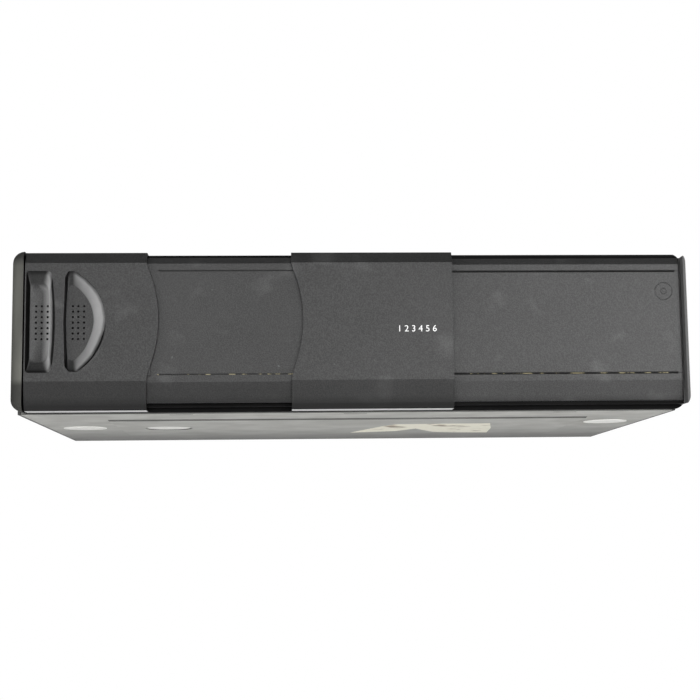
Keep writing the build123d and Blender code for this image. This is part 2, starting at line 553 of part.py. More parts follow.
with BuildPart() as lift_motor:
    peg(*MOTOR_XY, 10.0, 32.0, 6.5)
    block(84.0, 100.0, 68.6, 71.4, 8.6, 10.1)
    for x in (84.0, 98.4):
        block(x, x + 1.6, 68.6, 71.4, FLOOR_Z + FLOOR_T, 10.1)
    peg(*MOTOR_XY, 8.0, 13.0, 1.0 + RUN, Mode.SUBTRACT)
lift_motor.part.label = "lift_motor"
export_step(lift_motor.part, "parts/lift_motor.step")

# main board with its parts, on four pillars
with BuildPart() as main_board:
    block(-98.0, 14.0, -62.0, 56.0, 6.0, 7.6)
main_board.part.label = "main_board"
export_step(main_board.part, "parts/main_board.step")

CHIPS = ((-80.0, -20.0, 14.0, 14.0, 2.2), (-40.0, 10.0, 20.0, 20.0, 2.0),
         (-10.0, -30.0, 10.0, 16.0, 2.4), (-90.0, 25.0, 12.0, 8.0, 3.0),
         (-20.0, 38.0, 16.0, 6.0, 4.0), (-60.0, -45.0, 24.0, 6.0, 4.0))
with BuildPart() as board_components:
    for x, y, w, d, h in CHIPS:
        block(x - w / 2, x + w / 2, y - d / 2, y + d / 2, 7.6, 7.6 + h)
    for k in range(5):
        peg(-88.0 + 9 * k, -4.0, 7.6, 12.6, 2.5)
board_components.part.label = "board_components"
export_step(board_components.part, "parts/board_components.step")

# dials on both sides that set the suspension for flat or upright mounting
for side, wall, out in (("left", CASE_LEFT, -1), ("right", CASE_RIGHT, 1)):
    with BuildPart() as dial:
        ends = sorted((wall + out * 0.06, wall + out * 0.86))
        peg_x(DIAL_Y, DIAL_Z, ends[0], ends[1], DIAL_R)
        tip = sorted((wall - out * 3.5, wall + out * 0.1))
        peg_x(DIAL_Y, DIAL_Z, tip[0], tip[1], DIAL_SHAFT)
        slot = sorted((wall + out * 0.46, wall + out * 2))
        block(slot[0], slot[1], DIAL_Y - 8.0, DIAL_Y + 8.0, DIAL_Z - 0.8, DIAL_Z + 0.8,
              Mode.SUBTRACT)
    dial.part.label = f"angle_dial_{side}"
    export_step(dial.part, f"parts/angle_dial_{side}.step")
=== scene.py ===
# %% [markdown]
# # A trunk-mounted disc changer
# The measured solids come in first, in metres, each riding on its own moving body. Everything
# made below is placed against them, so the lengths in this lesson are the solids' lengths.

# %% Load the measured solids
import bpy
import json
from math import cos, radians, sin
from mathutils import Matrix, Vector

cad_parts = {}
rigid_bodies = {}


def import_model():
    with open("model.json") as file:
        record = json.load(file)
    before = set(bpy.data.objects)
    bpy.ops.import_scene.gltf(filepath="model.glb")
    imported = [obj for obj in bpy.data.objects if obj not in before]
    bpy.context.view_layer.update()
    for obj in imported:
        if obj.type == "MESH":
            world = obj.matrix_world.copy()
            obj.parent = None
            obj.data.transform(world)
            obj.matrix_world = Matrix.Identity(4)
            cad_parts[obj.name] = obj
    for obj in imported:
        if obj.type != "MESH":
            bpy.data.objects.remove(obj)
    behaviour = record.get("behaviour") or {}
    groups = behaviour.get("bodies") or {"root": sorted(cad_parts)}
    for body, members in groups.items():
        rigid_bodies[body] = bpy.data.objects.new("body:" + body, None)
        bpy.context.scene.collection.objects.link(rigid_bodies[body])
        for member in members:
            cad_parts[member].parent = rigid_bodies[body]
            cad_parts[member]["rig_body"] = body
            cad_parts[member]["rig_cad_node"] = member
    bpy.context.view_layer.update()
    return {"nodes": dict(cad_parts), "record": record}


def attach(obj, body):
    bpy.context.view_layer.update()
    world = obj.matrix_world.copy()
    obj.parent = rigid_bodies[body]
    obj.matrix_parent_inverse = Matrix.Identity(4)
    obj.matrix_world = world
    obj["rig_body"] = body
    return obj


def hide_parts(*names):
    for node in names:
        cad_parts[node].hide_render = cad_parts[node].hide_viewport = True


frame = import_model()
nodes = frame["nodes"]
body_of = {n: b for b, ns in frame["record"]["behaviour"]["bodies"].items() for n in ns}
slot_of = {s["node"]: s["material_slot"] for s in frame["record"]["subparts"]}
MM = 0.001
FRONT = -0.0825  # y of the covers' front face

# %% [markdown]
# ## Finishes
# A finish is built from nodes. Its colour drifts a little over the surface, a fine grain catches
# the light, and long thin scuffs show where fingers and boxes rubbed. The patterns read Object
# coordinates, so they stay put when a door slides.

# %% Node helpers
def linear(grey_or_rgb):
    """An sRGB value from 0 to 255, or three of them, as the linear colour a shader takes."""
    rgb = grey_or_rgb if isinstance(grey_or_rgb, tuple) else (grey_or_rgb,) * 3
    out = [(c / 255 / 12.92) if c / 255 <= 0.04045 else ((c / 255 + 0.055) / 1.055) ** 2.4
           for c in rgb]
    return (*out, 1.0)


def shaded(colour, share):
    """A linear colour made lighter or darker by a share."""
    return tuple(min(1.0, c * share) for c in colour[:3]) + (1.0,)


class Finish:
    """A new material with a Principled shader and short calls for the nodes that feed it."""

    def __init__(self, name, rough, metal=0.0):
        self.material = bpy.data.materials.new(name)
        self.material.use_nodes = True
        self.tree = self.material.node_tree
        self.shader = self.tree.nodes["Principled BSDF"]
        self.shader.inputs["Roughness"].default_value = rough
        self.shader.inputs["Metallic"].default_value = metal
        self.place = self.add("ShaderNodeTexCoord").outputs["Object"]

    def add(self, kind, **values):
        node = self.tree.nodes.new(kind)
        for key, value in values.items():
            setattr(node, key, value)
        return node

    def join(self, source, target):
        self.tree.links.new(source, target)

    def stretched(self, scale, turn=(0, 0, 0)):
        mapping = self.add("ShaderNodeMapping")
        mapping.inputs["Scale"].default_value = scale
        mapping.inputs["Rotation"].default_value = turn
        self.join(self.place, mapping.inputs["Vector"])
        return mapping.outputs["Vector"]

    def ramp(self, value, start, end):
        """0 where the value is at start, 1 where it is at end, straight between."""
        reach = self.add("ShaderNodeMapRange")
        reach.inputs["From Min"].default_value = start
        reach.inputs["From Max"].default_value = end
        self.join(value, reach.inputs["Value"])
        return reach.outputs["Result"]

    def noise(self, scale, low, high, vector=None, detail=3.0):
        """Cloudy noise: 0 where it is under low, 1 where it is over high."""
        texture = self.add("ShaderNodeTexNoise")
        texture.inputs["Scale"].default_value = scale
        texture.inputs["Detail"].default_value = detail
        self.join(vector or self.place, texture.inputs["Vector"])
        return self.ramp(texture.outputs["Fac"], low, high)

    def worked(self, operation, value, *numbers):
        """A value put through one Math node, with constants on its other sockets."""
        node = self.add("ShaderNodeMath", operation=operation)
        self.join(value, node.inputs[0])
        for place, number in enumerate(numbers, start=1):
            node.inputs[place].default_value = number
        return node.outputs[0]

    def scaled(self, value, amount):
        return self.worked("MULTIPLY", value, amount)

    def nearby(self, value, centre, reach):
        return self.worked("COMPARE", value, centre, reach)

    def both(self, first, second):
        node = self.add("ShaderNodeMath", operation="MULTIPLY")
        self.join(first, node.inputs[0])
        self.join(second, node.inputs[1])
        return node.outputs[0]

    def axes(self, output="Object"):
        """The X, Y and Z of a place, or with Normal of the way that the surface faces."""
        coords = self.add("ShaderNodeTexCoord")
        split = self.add("ShaderNodeSeparateXYZ")
        self.join(coords.outputs[output], split.inputs[0])
        return split.outputs

    def blended(self, factor, under, over):
        mix = self.add("ShaderNodeMix", data_type="RGBA")
        self.join(factor, mix.inputs[0])
        for socket, colour in ((mix.inputs[6], under), (mix.inputs[7], over)):
            if isinstance(colour, tuple):
                socket.default_value = colour
            else:
                self.join(colour, socket)
        return mix.outputs[2]

    def coloured(self, colour):
        self.join(colour, self.shader.inputs["Base Color"])

    def grained(self, height, strength, depth=0.0002):
        bump = self.add("ShaderNodeBump")
        bump.inputs["Strength"].default_value = strength
        bump.inputs["Distance"].default_value = depth
        self.join(height, bump.inputs["Height"])
        self.join(bump.outputs["Normal"], self.shader.inputs["Normal"])


# %% [markdown]
# Most plastic pieces need one recipe: a grey that drifts, some scuffs and a moulded grain. It could
# be an image texture, but nodes stay sharp at any distance and need no file.

# %% Plastic
def plastic(name, grey, rough, scuff=0.0, drift=0.12, grain=0.12):
    """A moulded plastic: scuff says how strongly rubs and specks show."""
    look = Finish(name, rough)
    base = linear(grey)
    dull, pale = shaded(base, 1 - drift), shaded(base, 1 + drift)
    colour = look.blended(look.noise(22, 0.35, 0.65), dull, pale)
    if scuff:
        rubbed = look.noise(7, 0.68, 0.80, look.stretched((9, 9, 26), (0, radians(52), 0)))
        specks = look.noise(380, 0.76, 0.80, detail=1.0)
        worn = tuple(min(1.0, c * 2.1 + 0.03) for c in base[:3]) + (1.0,)
        colour = look.blended(look.scaled(rubbed, scuff), colour, worn)
        colour = look.blended(look.scaled(specks, scuff), colour, worn)
    look.coloured(colour)
    look.grained(look.noise(2600, 0.3, 0.7, detail=1.0), grain)
    return look.material


# %% [markdown]
# Rods, motors and decks are bare metal. The plated case is duller: its zinc has gone chalky, so it
# is made almost without metal shine. Its pressed steps and its rear end get painted shade, picked
# out by the way they face and by their place.

# %% Metal and zinc sheet
def metal(name, grey, rough, drift=0.10, grain=0.06, brushed=(1, 1, 1)):
    """Bare metal: brushed stretches the grain along one axis."""
    look = Finish(name, rough, 1.0)
    base = linear(grey)
    dull, pale = shaded(base, 1 - drift), shaded(base, 1 + drift)
    look.coloured(look.blended(look.noise(35, 0.35, 0.65, look.stretched(brushed)), dull, pale))
    look.join(look.noise(18, -rough * 3, 1.0 + rough), look.shader.inputs["Roughness"])
    look.grained(look.noise(900, 0.3, 0.7, look.stretched(brushed)), grain)
    return look.material


def zinc(name):
    """Dull, chalky zinc-plated sheet with stains, and painted shade on steps and rear."""
    look = Finish(name, 0.6, 0.03)
    look.shader.inputs["Specular IOR Level"].default_value = 0.05
    spangle = look.blended(look.noise(60, 0.38, 0.62), linear((176, 176, 172)),
                           linear((190, 190, 186)))
    stains = look.scaled(look.noise(14, 0.60, 0.74), 0.45)
    sheet = look.blended(stains, spangle, linear((140, 138, 132)))
    facing, where = look.axes("Normal"), look.axes()
    # painted shade: faces that turn to the front, such as the pressed steps, are darkened
    steps = look.ramp(facing["Y"], -0.15, -0.5)
    sheet = look.blended(look.scaled(steps, 0.8), sheet, linear(40))
    # painted shade: downward faces towards the rear end are darkened
    shade = look.both(look.ramp(where["Y"], 0.0, 0.075), look.ramp(facing["Z"], -0.3, -0.8))
    sheet = look.blended(look.scaled(shade, 0.7), sheet, linear(88))
    look.coloured(sheet)
    look.grained(look.noise(700, 0.3, 0.7), 0.05)
    return look.material


# %% [markdown]
# The seals and the torn label are paper: no shine, fine fibres, and blots. On the seals they are
# faint stains; on the label they are brown, partly its peeled adhesive side and partly painted
# shade.

# %% Paper
def paper(name, colour, blot_colour, amount):
    """Fibrous paper: amount says how strongly the blots show in their colour."""
    look = Finish(name, 0.85)
    fibres = look.blended(look.noise(500, 0.4, 0.6), linear(colour), shaded(linear(colour), 0.94))
    blots = look.noise(70, 0.56, 0.66)
    look.coloured(look.blended(look.scaled(blots, amount), fibres, linear(blot_colour)))
    look.grained(look.noise(160, 0.3, 0.7), 0.35, 0.0004)
    return look.material


# %% [markdown]
# The doors and the fixed panel are the same black moulding, but light and dirt treat each side of
# them in its own way. Slopes get painted shade, cut edges and the low edge darker painted shade,
# and the undersides that face the floor a pale painted reflection of it. The two long grooves hold
# painted shadow, and the lower one some dust. Facing and place pick these out, so no face has to be
# painted by hand.

# %% Door moulding
GROOVE_HEIGHTS = (0.01445, 0.05365)
GROOVE_HALF = 0.18 * MM
GROOVE_START = -0.0735
STEP_BACK = FRONT + 1.2 * MM  # the covers lie in front of this depth, the panels behind it
EDGE = 0.1 * MM
SHADOW, DEEP_SHADOW = linear(6), linear(3)


def door_look(name, grey, low_shade=0.5, dished=False):
    """Black satin moulding with painted shade; a dished one gets painted light on its slopes."""
    look = Finish(name, 0.34)
    look.shader.inputs["Specular IOR Level"].default_value = 0.3
    skin = look.blended(look.noise(24, 0.35, 0.65), linear(grey), shaded(linear(grey), 1.25))
    slanted = look.stretched((9, 9, 22), (0, radians(52), 0))
    wear = ((look.noise(2600, 0.40, 0.62, detail=2.0), 0.14, 100),
            (look.noise(7, 0.66, 0.80, slanted), 0.25, 90),
            (look.noise(700, 0.76, 0.81, look.stretched((1, 1, 0.6)), detail=2.0), 0.22, 120),
            (look.noise(48, 0.60, 0.76, look.stretched((1, 1, 1.3))), 0.13, 128))
    for pattern, amount, tone in wear:
        skin = look.blended(look.scaled(pattern, amount), skin, linear(tone))
    facing, where = look.axes("Normal"), look.axes()
    # painted shade on the upper and lower slopes and on edges that face right
    slopes = [("Z", 0.08, 0.30, 0.38, SHADOW), ("Z", -0.08, -0.15, low_shade, SHADOW),
              ("X", 0.75, 0.85, 1.0, SHADOW)]
    # painted light on recess slopes facing left and right, painted shade on their steep walls
    if dished:
        slopes += [("X", -0.03, -0.62, 1.0, linear(142)), ("X", 0.35, 0.70, 0.5, linear(90)),
                   ("Y", -0.80, -0.60, 1.0, DEEP_SHADOW)]
    for side, least, full, amount, tone in slopes:
        tilted = look.ramp(facing[side], least, full)
        skin = look.blended(look.scaled(tilted, amount), skin, tone)
    # painted shade, darker towards the bottom edge
    low_edge_shade = look.ramp(where["Z"], 6.2 * MM, 2.6 * MM)
    skin = look.blended(look.scaled(low_edge_shade, 0.8), skin, linear(5))
    recessed = look.both(look.ramp(where["Y"], STEP_BACK - EDGE, STEP_BACK + EDGE),
                         look.ramp(where["X"], GROOVE_START - EDGE, GROOVE_START + EDGE))
    # painted shadow in both grooves, with dust mixed into the lower one
    dust_and_shade = look.blended(look.noise(420, 0.50, 0.60), linear(8), linear((128, 121, 94)))
    for height, fill in zip(GROOVE_HEIGHTS, (dust_and_shade, linear(8))):
        in_groove = look.both(recessed, look.nearby(where["Z"], height, GROOVE_HALF))
        skin = look.blended(in_groove, skin, fill)
    # painted reflection: low undersides that face the white floor are made pale
    under = look.both(look.ramp(facing["Z"], -0.88, -0.92),
                      look.ramp(where["Z"], 3.0 * MM, 2.6 * MM))
    look.coloured(look.blended(under, skin, linear(196)))
    look.grained(look.noise(2600, 0.3, 0.7, detail=1.0), 0.12)
    return look.material


# %% [markdown]
# The frame is one moulding with three looks: its end cap is a greyer, slightly olive skin with
# painted shade at its top and bottom, its post at the right is grey too, and its rails lie in the
# doors' shade, painted near-black. The place along X tells them apart.

# %% Frame moulding
CAP_EDGE = -0.1231  # x where the end cap stops
POST_EDGE = 0.1259  # x where the right post starts
CAP_ENDS = ((0.0555, 0.0585), (0.0130, 0.0105))  # z over which the cap turns dark, up and down


def frame_look(name):
    """Black frame with a greyer, slightly olive end cap; painted shade on cap ends and rails."""
    look = Finish(name, 0.55)
    look.shader.inputs["Specular IOR Level"].default_value = 0.08
    where = look.axes()
    worn = look.blended(look.noise(45, 0.35, 0.68, look.stretched((1, 1, 0.25))),
                        linear((62, 62, 59)), linear((98, 98, 93)))
    # painted shade: the cap darkens towards its top and bottom
    for start, end in CAP_ENDS:
        worn = look.blended(look.scaled(look.ramp(where["Z"], start, end), 0.7), worn, linear(30))
    # painted shade: the rails are near-black where the doors shade them
    rails = look.blended(look.noise(30, 0.4, 0.7), linear(4), linear(9))
    on_post = look.ramp(where["X"], POST_EDGE - EDGE, POST_EDGE + EDGE)
    rails = look.blended(on_post, rails, linear(84))
    look.coloured(look.blended(look.worked("LESS_THAN", where["X"], CAP_EDGE), rails, worn))
    look.grained(look.noise(2200, 0.3, 0.7, detail=1.0), 0.12)
    return look.material


# %% [markdown]
# Every slot of the record gets its finish here, by the slot's own name. Pieces that are hidden in
# the case get one as well, because they show when the doors slide or a tray comes out.

# %% One finish for each slot
looks = {
    "frame_plastic": frame_look("frame_plastic"),
    "door_plastic": door_look("door_plastic", 33),
    "panel_plastic": door_look("panel_plastic", 38, low_shade=0.0),
    "zinc_sheet": zinc("zinc_sheet"),
    "cover_paint": plastic("cover_paint", (52, 52, 51), 0.5, 0.15, grain=0.25),
    "seal_paper": paper("seal_paper", (252, 252, 248), (226, 222, 212), 0.15),
    # brown blots: the peeled adhesive side's colour, partly painted shade
    "label_paper": paper("label_paper", (255, 252, 236), (112, 88, 60), 0.75),
    "screw_steel": metal("screw_steel", 178, 0.35),
    "socket_plastic": plastic("socket_plastic", 26, 0.3),
    "pin_brass": metal("pin_brass", (214, 180, 110), 0.3),
    "damper_rubber": plastic("damper_rubber", 30, 0.75),
    "spring_steel": metal("spring_steel", 180, 0.3),
    "chassis_steel": metal("chassis_steel", 178, 0.42),
    "rod_chrome": metal("rod_chrome", 215, 0.12, 0.03, 0.01),
    "button_plastic": plastic("button_plastic", 52, 0.45),
    "lever_plastic": plastic("lever_plastic", (226, 225, 218), 0.5, drift=0.03),
    "magazine_plastic": plastic("magazine_plastic", (46, 46, 48), 0.5, 0.15),
    "tray_plastic": plastic("tray_plastic", (66, 66, 68), 0.5, 0.1),
    "deck_steel": metal("deck_steel", 186, 0.35, brushed=(1, 12, 1)),
    "motor_steel": metal("motor_steel", 160, 0.4),
    "table_plastic": plastic("table_plastic", 34, 0.4),
    "belt_rubber": plastic("belt_rubber", 20, 0.7),
    "board_green": plastic("board_green", (34, 92, 52), 0.4, drift=0.1, grain=0.3),
    "chip_plastic": plastic("chip_plastic", 30, 0.45),
    "dial_plastic": plastic("dial_plastic", (214, 213, 206), 0.5, 0.2, 0.03),
}
print(len(looks), "finishes")

# %% [markdown]
# A disc is a bright mirror with faint rings. They could be painted in an image, but the distance to
# the spindle draws them sharp at any size, and a metal shader gives the shine. The pickup's lens is
# a small blue pearl under a clear coat.

# %% Disc and lens finishes
DISC_R = 60 * MM
SPINDLE = (-0.048, -0.0075, 0)


def disc_look(name, centre):
    """A mirror whose rings run around the centre."""
    look = Finish(name, 0.16, 0.9)
    flat = look.add("ShaderNodeVectorMath", operation="MULTIPLY")
    flat.inputs[1].default_value = (1, 1, 0)
    look.join(look.place, flat.inputs[0])
    reach = look.add("ShaderNodeVectorMath", operation="DISTANCE")
    reach.inputs[1].default_value = centre
    look.join(flat.outputs["Vector"], reach.inputs[0])
    ramp = look.add("ShaderNodeValToRGB")
    stops = ((0.0, (200, 200, 204)), (0.37, (206, 206, 210)), (0.40, (168, 172, 180)),
             (0.62, (196, 198, 206)), (0.9, (188, 196, 204)), (0.97, (214, 214, 214)))
    while len(ramp.color_ramp.elements) < len(stops):
        ramp.color_ramp.elements.new(0.5)
    for element, (place, colour) in zip(ramp.color_ramp.elements, stops):
        element.position = place
        element.color = linear(colour)
    look.join(look.scaled(reach.outputs["Value"], 1 / DISC_R), ramp.inputs["Fac"])
    look.coloured(ramp.outputs["Color"])
    return look.material


looks["disc_mirror"] = disc_look("disc_mirror", SPINDLE)
lens = Finish("lens_glass", 0.05)
lens.coloured(lens.blended(lens.noise(300, 0.3, 0.7),
                           linear((70, 86, 140)), linear((110, 120, 180))))
lens.shader.inputs["Coat Weight"].default_value = 1.0
looks["lens_glass"] = lens.material

for name, solid in nodes.items():
    solid.data.materials.clear()
    solid.data.materials.append(looks[slot_of[name]])
print("finishes given to", len(nodes), "solids")

# %% [markdown]
# ## Softened edges
# Moulded plastic and pressed steel have no razor edges: each one is rounded by a few tenths of a
# millimetre, and that thin round is what shines. The solid's mesh is copied, its loose triangles
# are merged into whole faces, and a Bevel modifier rounds the edges that turn sharply.

# %% Copy a solid and round its edges
def only(piece):
    """Select one piece and nothing else, and make it the active one."""
    bpy.ops.object.select_all(action="DESELECT")
    piece.select_set(True)
    bpy.context.view_layer.objects.active = piece


def dress(piece, name, body, slot, look=None):
    """Name a finished piece, give it its finish and let it ride on its body."""
    piece.name = name
    piece.data.name = name
    piece.data.materials.clear()
    piece.data.materials.append(looks[look or slot])
    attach(piece, body)
    print(name, len(piece.data.polygons), "faces")
    return piece


MERGE = 0.005 * MM
SAME_FACE, SHARP_EDGE = radians(1), radians(7)
CRISP, ROUND = radians(5), radians(32)  # faces that turn by less are shaded as one
ROUND_STEPS = 3
FLAT_PIECES = ("front_frame", "inner_door", "outer_door", "right_front_panel", "top_cover",
               "bottom_plate", "rear_panel")


def soften(node, width):
    """Put a copy of a solid with rounded edges in the solid's place."""
    piece = nodes[node].copy()
    piece.data = nodes[node].data.copy()
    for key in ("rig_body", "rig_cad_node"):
        if key in piece:
            del piece[key]
    piece.parent = None
    bpy.context.scene.collection.objects.link(piece)
    only(piece)
    bpy.ops.object.mode_set(mode="EDIT")
    bpy.ops.mesh.select_all(action="SELECT")
    bpy.ops.mesh.remove_doubles(threshold=MERGE)
    bpy.ops.mesh.dissolve_limited(angle_limit=SAME_FACE)
    bpy.ops.object.mode_set(mode="OBJECT")
    rounding = piece.modifiers.new("rounding", "BEVEL")
    rounding.width = width
    rounding.segments = ROUND_STEPS
    rounding.limit_method = "ANGLE"
    rounding.angle_limit = SHARP_EDGE
    rounding.use_clamp_overlap = True
    bpy.ops.object.modifier_apply(modifier="rounding")
    crisp = CRISP if node in FLAT_PIECES else ROUND
    bpy.ops.object.shade_smooth_by_angle(angle=crisp)
    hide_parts(node)
    return dress(piece, f"{node}_dressed", body_of[node], slot_of[node])


ROUNDED = {  # the round's width in mm
    "front_frame": 0.35, "inner_door": 0.30, "outer_door": 0.30, "right_front_panel": 0.30,
    "top_cover": 0.25, "bottom_plate": 0.20, "rear_panel": 0.20, "magazine_shell": 0.3,
    "rear_socket": 0.2, "eject_button": 0.2, "clamper_arm": 0.2, "lift_motor": 0.25,
    "spindle_motor": 0.25, "turntable": 0.15, "pickup_sled": 0.15, "clamp_puck": 0.2,
    "angle_dial_left": 0.15, "angle_dial_right": 0.15, "case_screws": 0.12,
}
for node, width in ROUNDED.items():
    soften(node, width * MM)

# %% [markdown]
# ## Finger recesses
# A finger meets no flat-bottomed hole: each recess is a dish with rounded corners. Its outline was
# measured on the solid. A curve could follow it, but points at even distances suit the next step
# better, because each of them becomes one corner of the dish's rim.

# %% Points along a rounded outline
OUTLINE_POINTS = 160
LEFT_RECESS = ((-122.2, 15.0), (-113.2, 15.0), (-111.9, 17.5), (-111.25, 26.0), (-111.05, 34.5),
               (-111.25, 43.0), (-112.0, 51.3), (-113.4, 53.6), (-122.2, 53.6))
RIGHT_RECESS = ((-106.4, 15.2), (-103.2, 15.1), (-100.4, 17.6), (-97.2, 21.2), (-94.6, 26.5),
                (-93.0, 31.0), (-92.4, 35.4), (-93.3, 41.0), (-95.1, 44.9), (-97.4, 48.0),
                (-100.8, 51.4), (-104.1, 53.6), (-106.4, 53.6), (-107.5, 51.4), (-108.1, 43.0),
                (-108.3, 34.5), (-107.9, 25.0), (-107.4, 18.0))


def along(corners, count):
    """Evenly spaced points along a closed line whose corners are smoothed by averaging."""
    closed = [Vector(c) for c in corners]
    lengths = [(closed[(i + 1) % len(closed)] - c).length for i, c in enumerate(closed)]
    step = sum(lengths) / count
    points = []
    for i, c in enumerate(closed):
        toward = closed[(i + 1) % len(closed)]
        pieces = max(1, round(lengths[i] / step))
        points += [c.lerp(toward, k / pieces) for k in range(pieces)]
    for turn in range(3):
        points = [(points[i - 1] + p * 2 + points[(i + 1) % len(points)]) / 4
                  for i, p in enumerate(points)]
    return points


print("recess corners", len(LEFT_RECESS), "and", len(RIGHT_RECESS))

# %% [markdown]
# A circle's points are set out along the outline, and this rim is extruded inwards in narrowing
# steps: steep at first, then running out gently on to the floor. A boolean could cut the dish, but
# it leaves uneven faces, and these even rings carry the light over the slope without a kink.

# %% Dish one recess
RIM_DEPTH = FRONT + 0.12 * MM
STEEP_DROP = 0.9  # a step that drops by more keeps its shape, and gentler ones are smoothed


def dish(name, corners, steps, pivot):
    """Each step is a drop in mm, then the loop's new width and height as shares of the old."""
    points = along(corners, OUTLINE_POINTS)
    bpy.ops.object.select_all(action="DESELECT")
    bpy.ops.mesh.primitive_circle_add(vertices=len(points), radius=0.01)
    piece = bpy.context.object
    for vertex, point in zip(piece.data.vertices, points):
        vertex.co = (point.x * MM, RIM_DEPTH, point.y * MM)
    bpy.ops.object.mode_set(mode="EDIT")
    bpy.ops.mesh.select_mode(type="EDGE")
    bpy.ops.mesh.select_all(action="SELECT")
    for drop, wide, tall in steps:
        bpy.ops.mesh.extrude_region_move(TRANSFORM_OT_translate={"value": (0, drop * MM, 0)})
        bpy.ops.transform.resize(value=(wide, 1, tall),
                                 center_override=(pivot[0] * MM, 0, pivot[1] * MM))
        if drop < STEEP_DROP:
            bpy.ops.mesh.vertices_smooth(factor=0.5, repeat=3, yaxis=False)
    bpy.ops.mesh.edge_face_add()
    bpy.ops.mesh.select_all(action="SELECT")
    bpy.ops.mesh.normals_make_consistent(inside=False)
    bpy.ops.object.mode_set(mode="OBJECT")
    floor_face = max(piece.data.polygons, key=lambda face: face.area)
    print(name, "floor normal along Y", round(floor_face.normal.y, 2))
    if floor_face.normal.y > 0:
        bpy.ops.object.mode_set(mode="EDIT")
        bpy.ops.mesh.select_all(action="SELECT")
        bpy.ops.mesh.flip_normals()
        bpy.ops.object.mode_set(mode="OBJECT")
    piece.matrix_world = Matrix.Identity(4)
    bpy.ops.object.shade_smooth_by_angle(angle=radians(60))
    return dress(piece, name, "inner_door", "door_plastic", "grip_plastic")


LEFT_STEPS = ((1.0, 0.90, 0.955), (0.55, 0.91, 0.95), (0.45, 0.90, 0.94), (0.35, 0.90, 0.93),
              (0.3, 0.90, 0.93), (0.25, 0.92, 0.93), (0.15, 0.93, 0.95))
RIGHT_STEPS = ((1.1, 0.93, 0.955), (0.5, 0.91, 0.94), (0.45, 0.90, 0.93), (0.4, 0.89, 0.92),
               (0.3, 0.88, 0.91), (0.25, 0.88, 0.92), (0.1, 0.92, 0.94))
looks["grip_plastic"] = door_look("grip_plastic", 38, dished=True)
dish("left_grip_dish", LEFT_RECESS, LEFT_STEPS, (-118.5, 34.4))
dish("right_grip_dish", RIGHT_RECESS, RIGHT_STEPS, (-106.3, 34.4))

# %% [markdown]
# ## Grip nubs
# The floor of each finger recess carries three columns of seven small nubs. They could be scattered
# as instances, but their places are exact, so plain copies do. One nub is a low sphere cut in half,
# and its copies are set out on the recess floors and joined.

# %% One nub, then forty-two
POCKET_FLOOR = FRONT + 3.2 * MM
NUB_COLUMNS = (-118.7, -116.6, -114.4, -105.05, -103.05, -100.9)
NUB_LOW, NUB_PITCH, NUB_ROWS = 28.15, 2.07, 7
NUB_R, NUB_HEIGHT = 0.42 * MM, 0.7  # the height is a share of the radius
bpy.ops.object.select_all(action="DESELECT")
bpy.ops.mesh.primitive_uv_sphere_add(segments=12, ring_count=8, radius=NUB_R)
first_nub = bpy.context.object
bpy.ops.object.mode_set(mode="EDIT")
bpy.ops.mesh.select_all(action="SELECT")
bpy.ops.mesh.bisect(plane_co=(0, 0, 0), plane_no=(0, -1, 0), clear_inner=True, use_fill=True)
bpy.ops.mesh.select_all(action="SELECT")
bpy.ops.transform.resize(value=(1, NUB_HEIGHT, 1))
bpy.ops.object.mode_set(mode="OBJECT")
bpy.ops.object.shade_smooth_by_angle(angle=radians(50))
nubs = []
for column in NUB_COLUMNS:
    for row in range(NUB_ROWS):
        nub = first_nub.copy()
        nub.data = first_nub.data.copy()
        nub.data.transform(Matrix.Translation((column * MM, POCKET_FLOOR,
                                               (NUB_LOW + NUB_PITCH * row) * MM)))
        bpy.context.scene.collection.objects.link(nub)
        nubs.append(nub)
bpy.data.objects.remove(first_nub)
only(nubs[0])
for nub in nubs:
    nub.select_set(True)
bpy.ops.object.join()
dress(bpy.context.object, "grip_nubs", "inner_door", "frame_plastic")

# %% [markdown]
# ## Numbers and disc mark
# A changer carries small printed marks. Here they are a plain row of tray numbers on the outer
# door. An image could hold them, but a text object turned into a thin mesh stays sharp close up.

# %% Tray numbers printed on the outer door
looks["white_print"] = plastic("white_print", 208, 0.6, drift=0.02, grain=0.02)


INK = 0.02 * MM


def print_on_front(words, x, z, size, depth, name, body):
    """Thin raised letters, placed in front of or behind the covers' face by depth."""
    bpy.ops.object.select_all(action="DESELECT")
    bpy.ops.object.text_add(location=(0, 0, 0))
    text = bpy.context.object
    text.data.body = words
    text.data.size = size
    text.data.extrude = INK
    bpy.ops.object.convert(target="MESH")
    text = bpy.context.object
    text.data.transform(Matrix.Rotation(radians(90), 4, "X"))
    text.data.transform(Matrix.Translation((x, FRONT + depth, z)))
    text.matrix_world = Matrix.Identity(4)
    text.name = name
    text.data.materials.clear()
    text.data.materials.append(looks["white_print"])
    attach(text, body)
    return text


numbers = print_on_front("1 2 3 4 5 6", 16.3 * MM, 30.0 * MM, 3.4 * MM, -0.01 * MM,
                         "tray_numbers", "outer_door")
print("numbers", len(numbers.data.polygons), "faces")

# %% [markdown]
# The mark on the fixed panel is a ring around a hub, the usual sign for a disc. Two thin tori, half
# sunk in the panel's face, look like moulded lines and need no change to the panel itself.

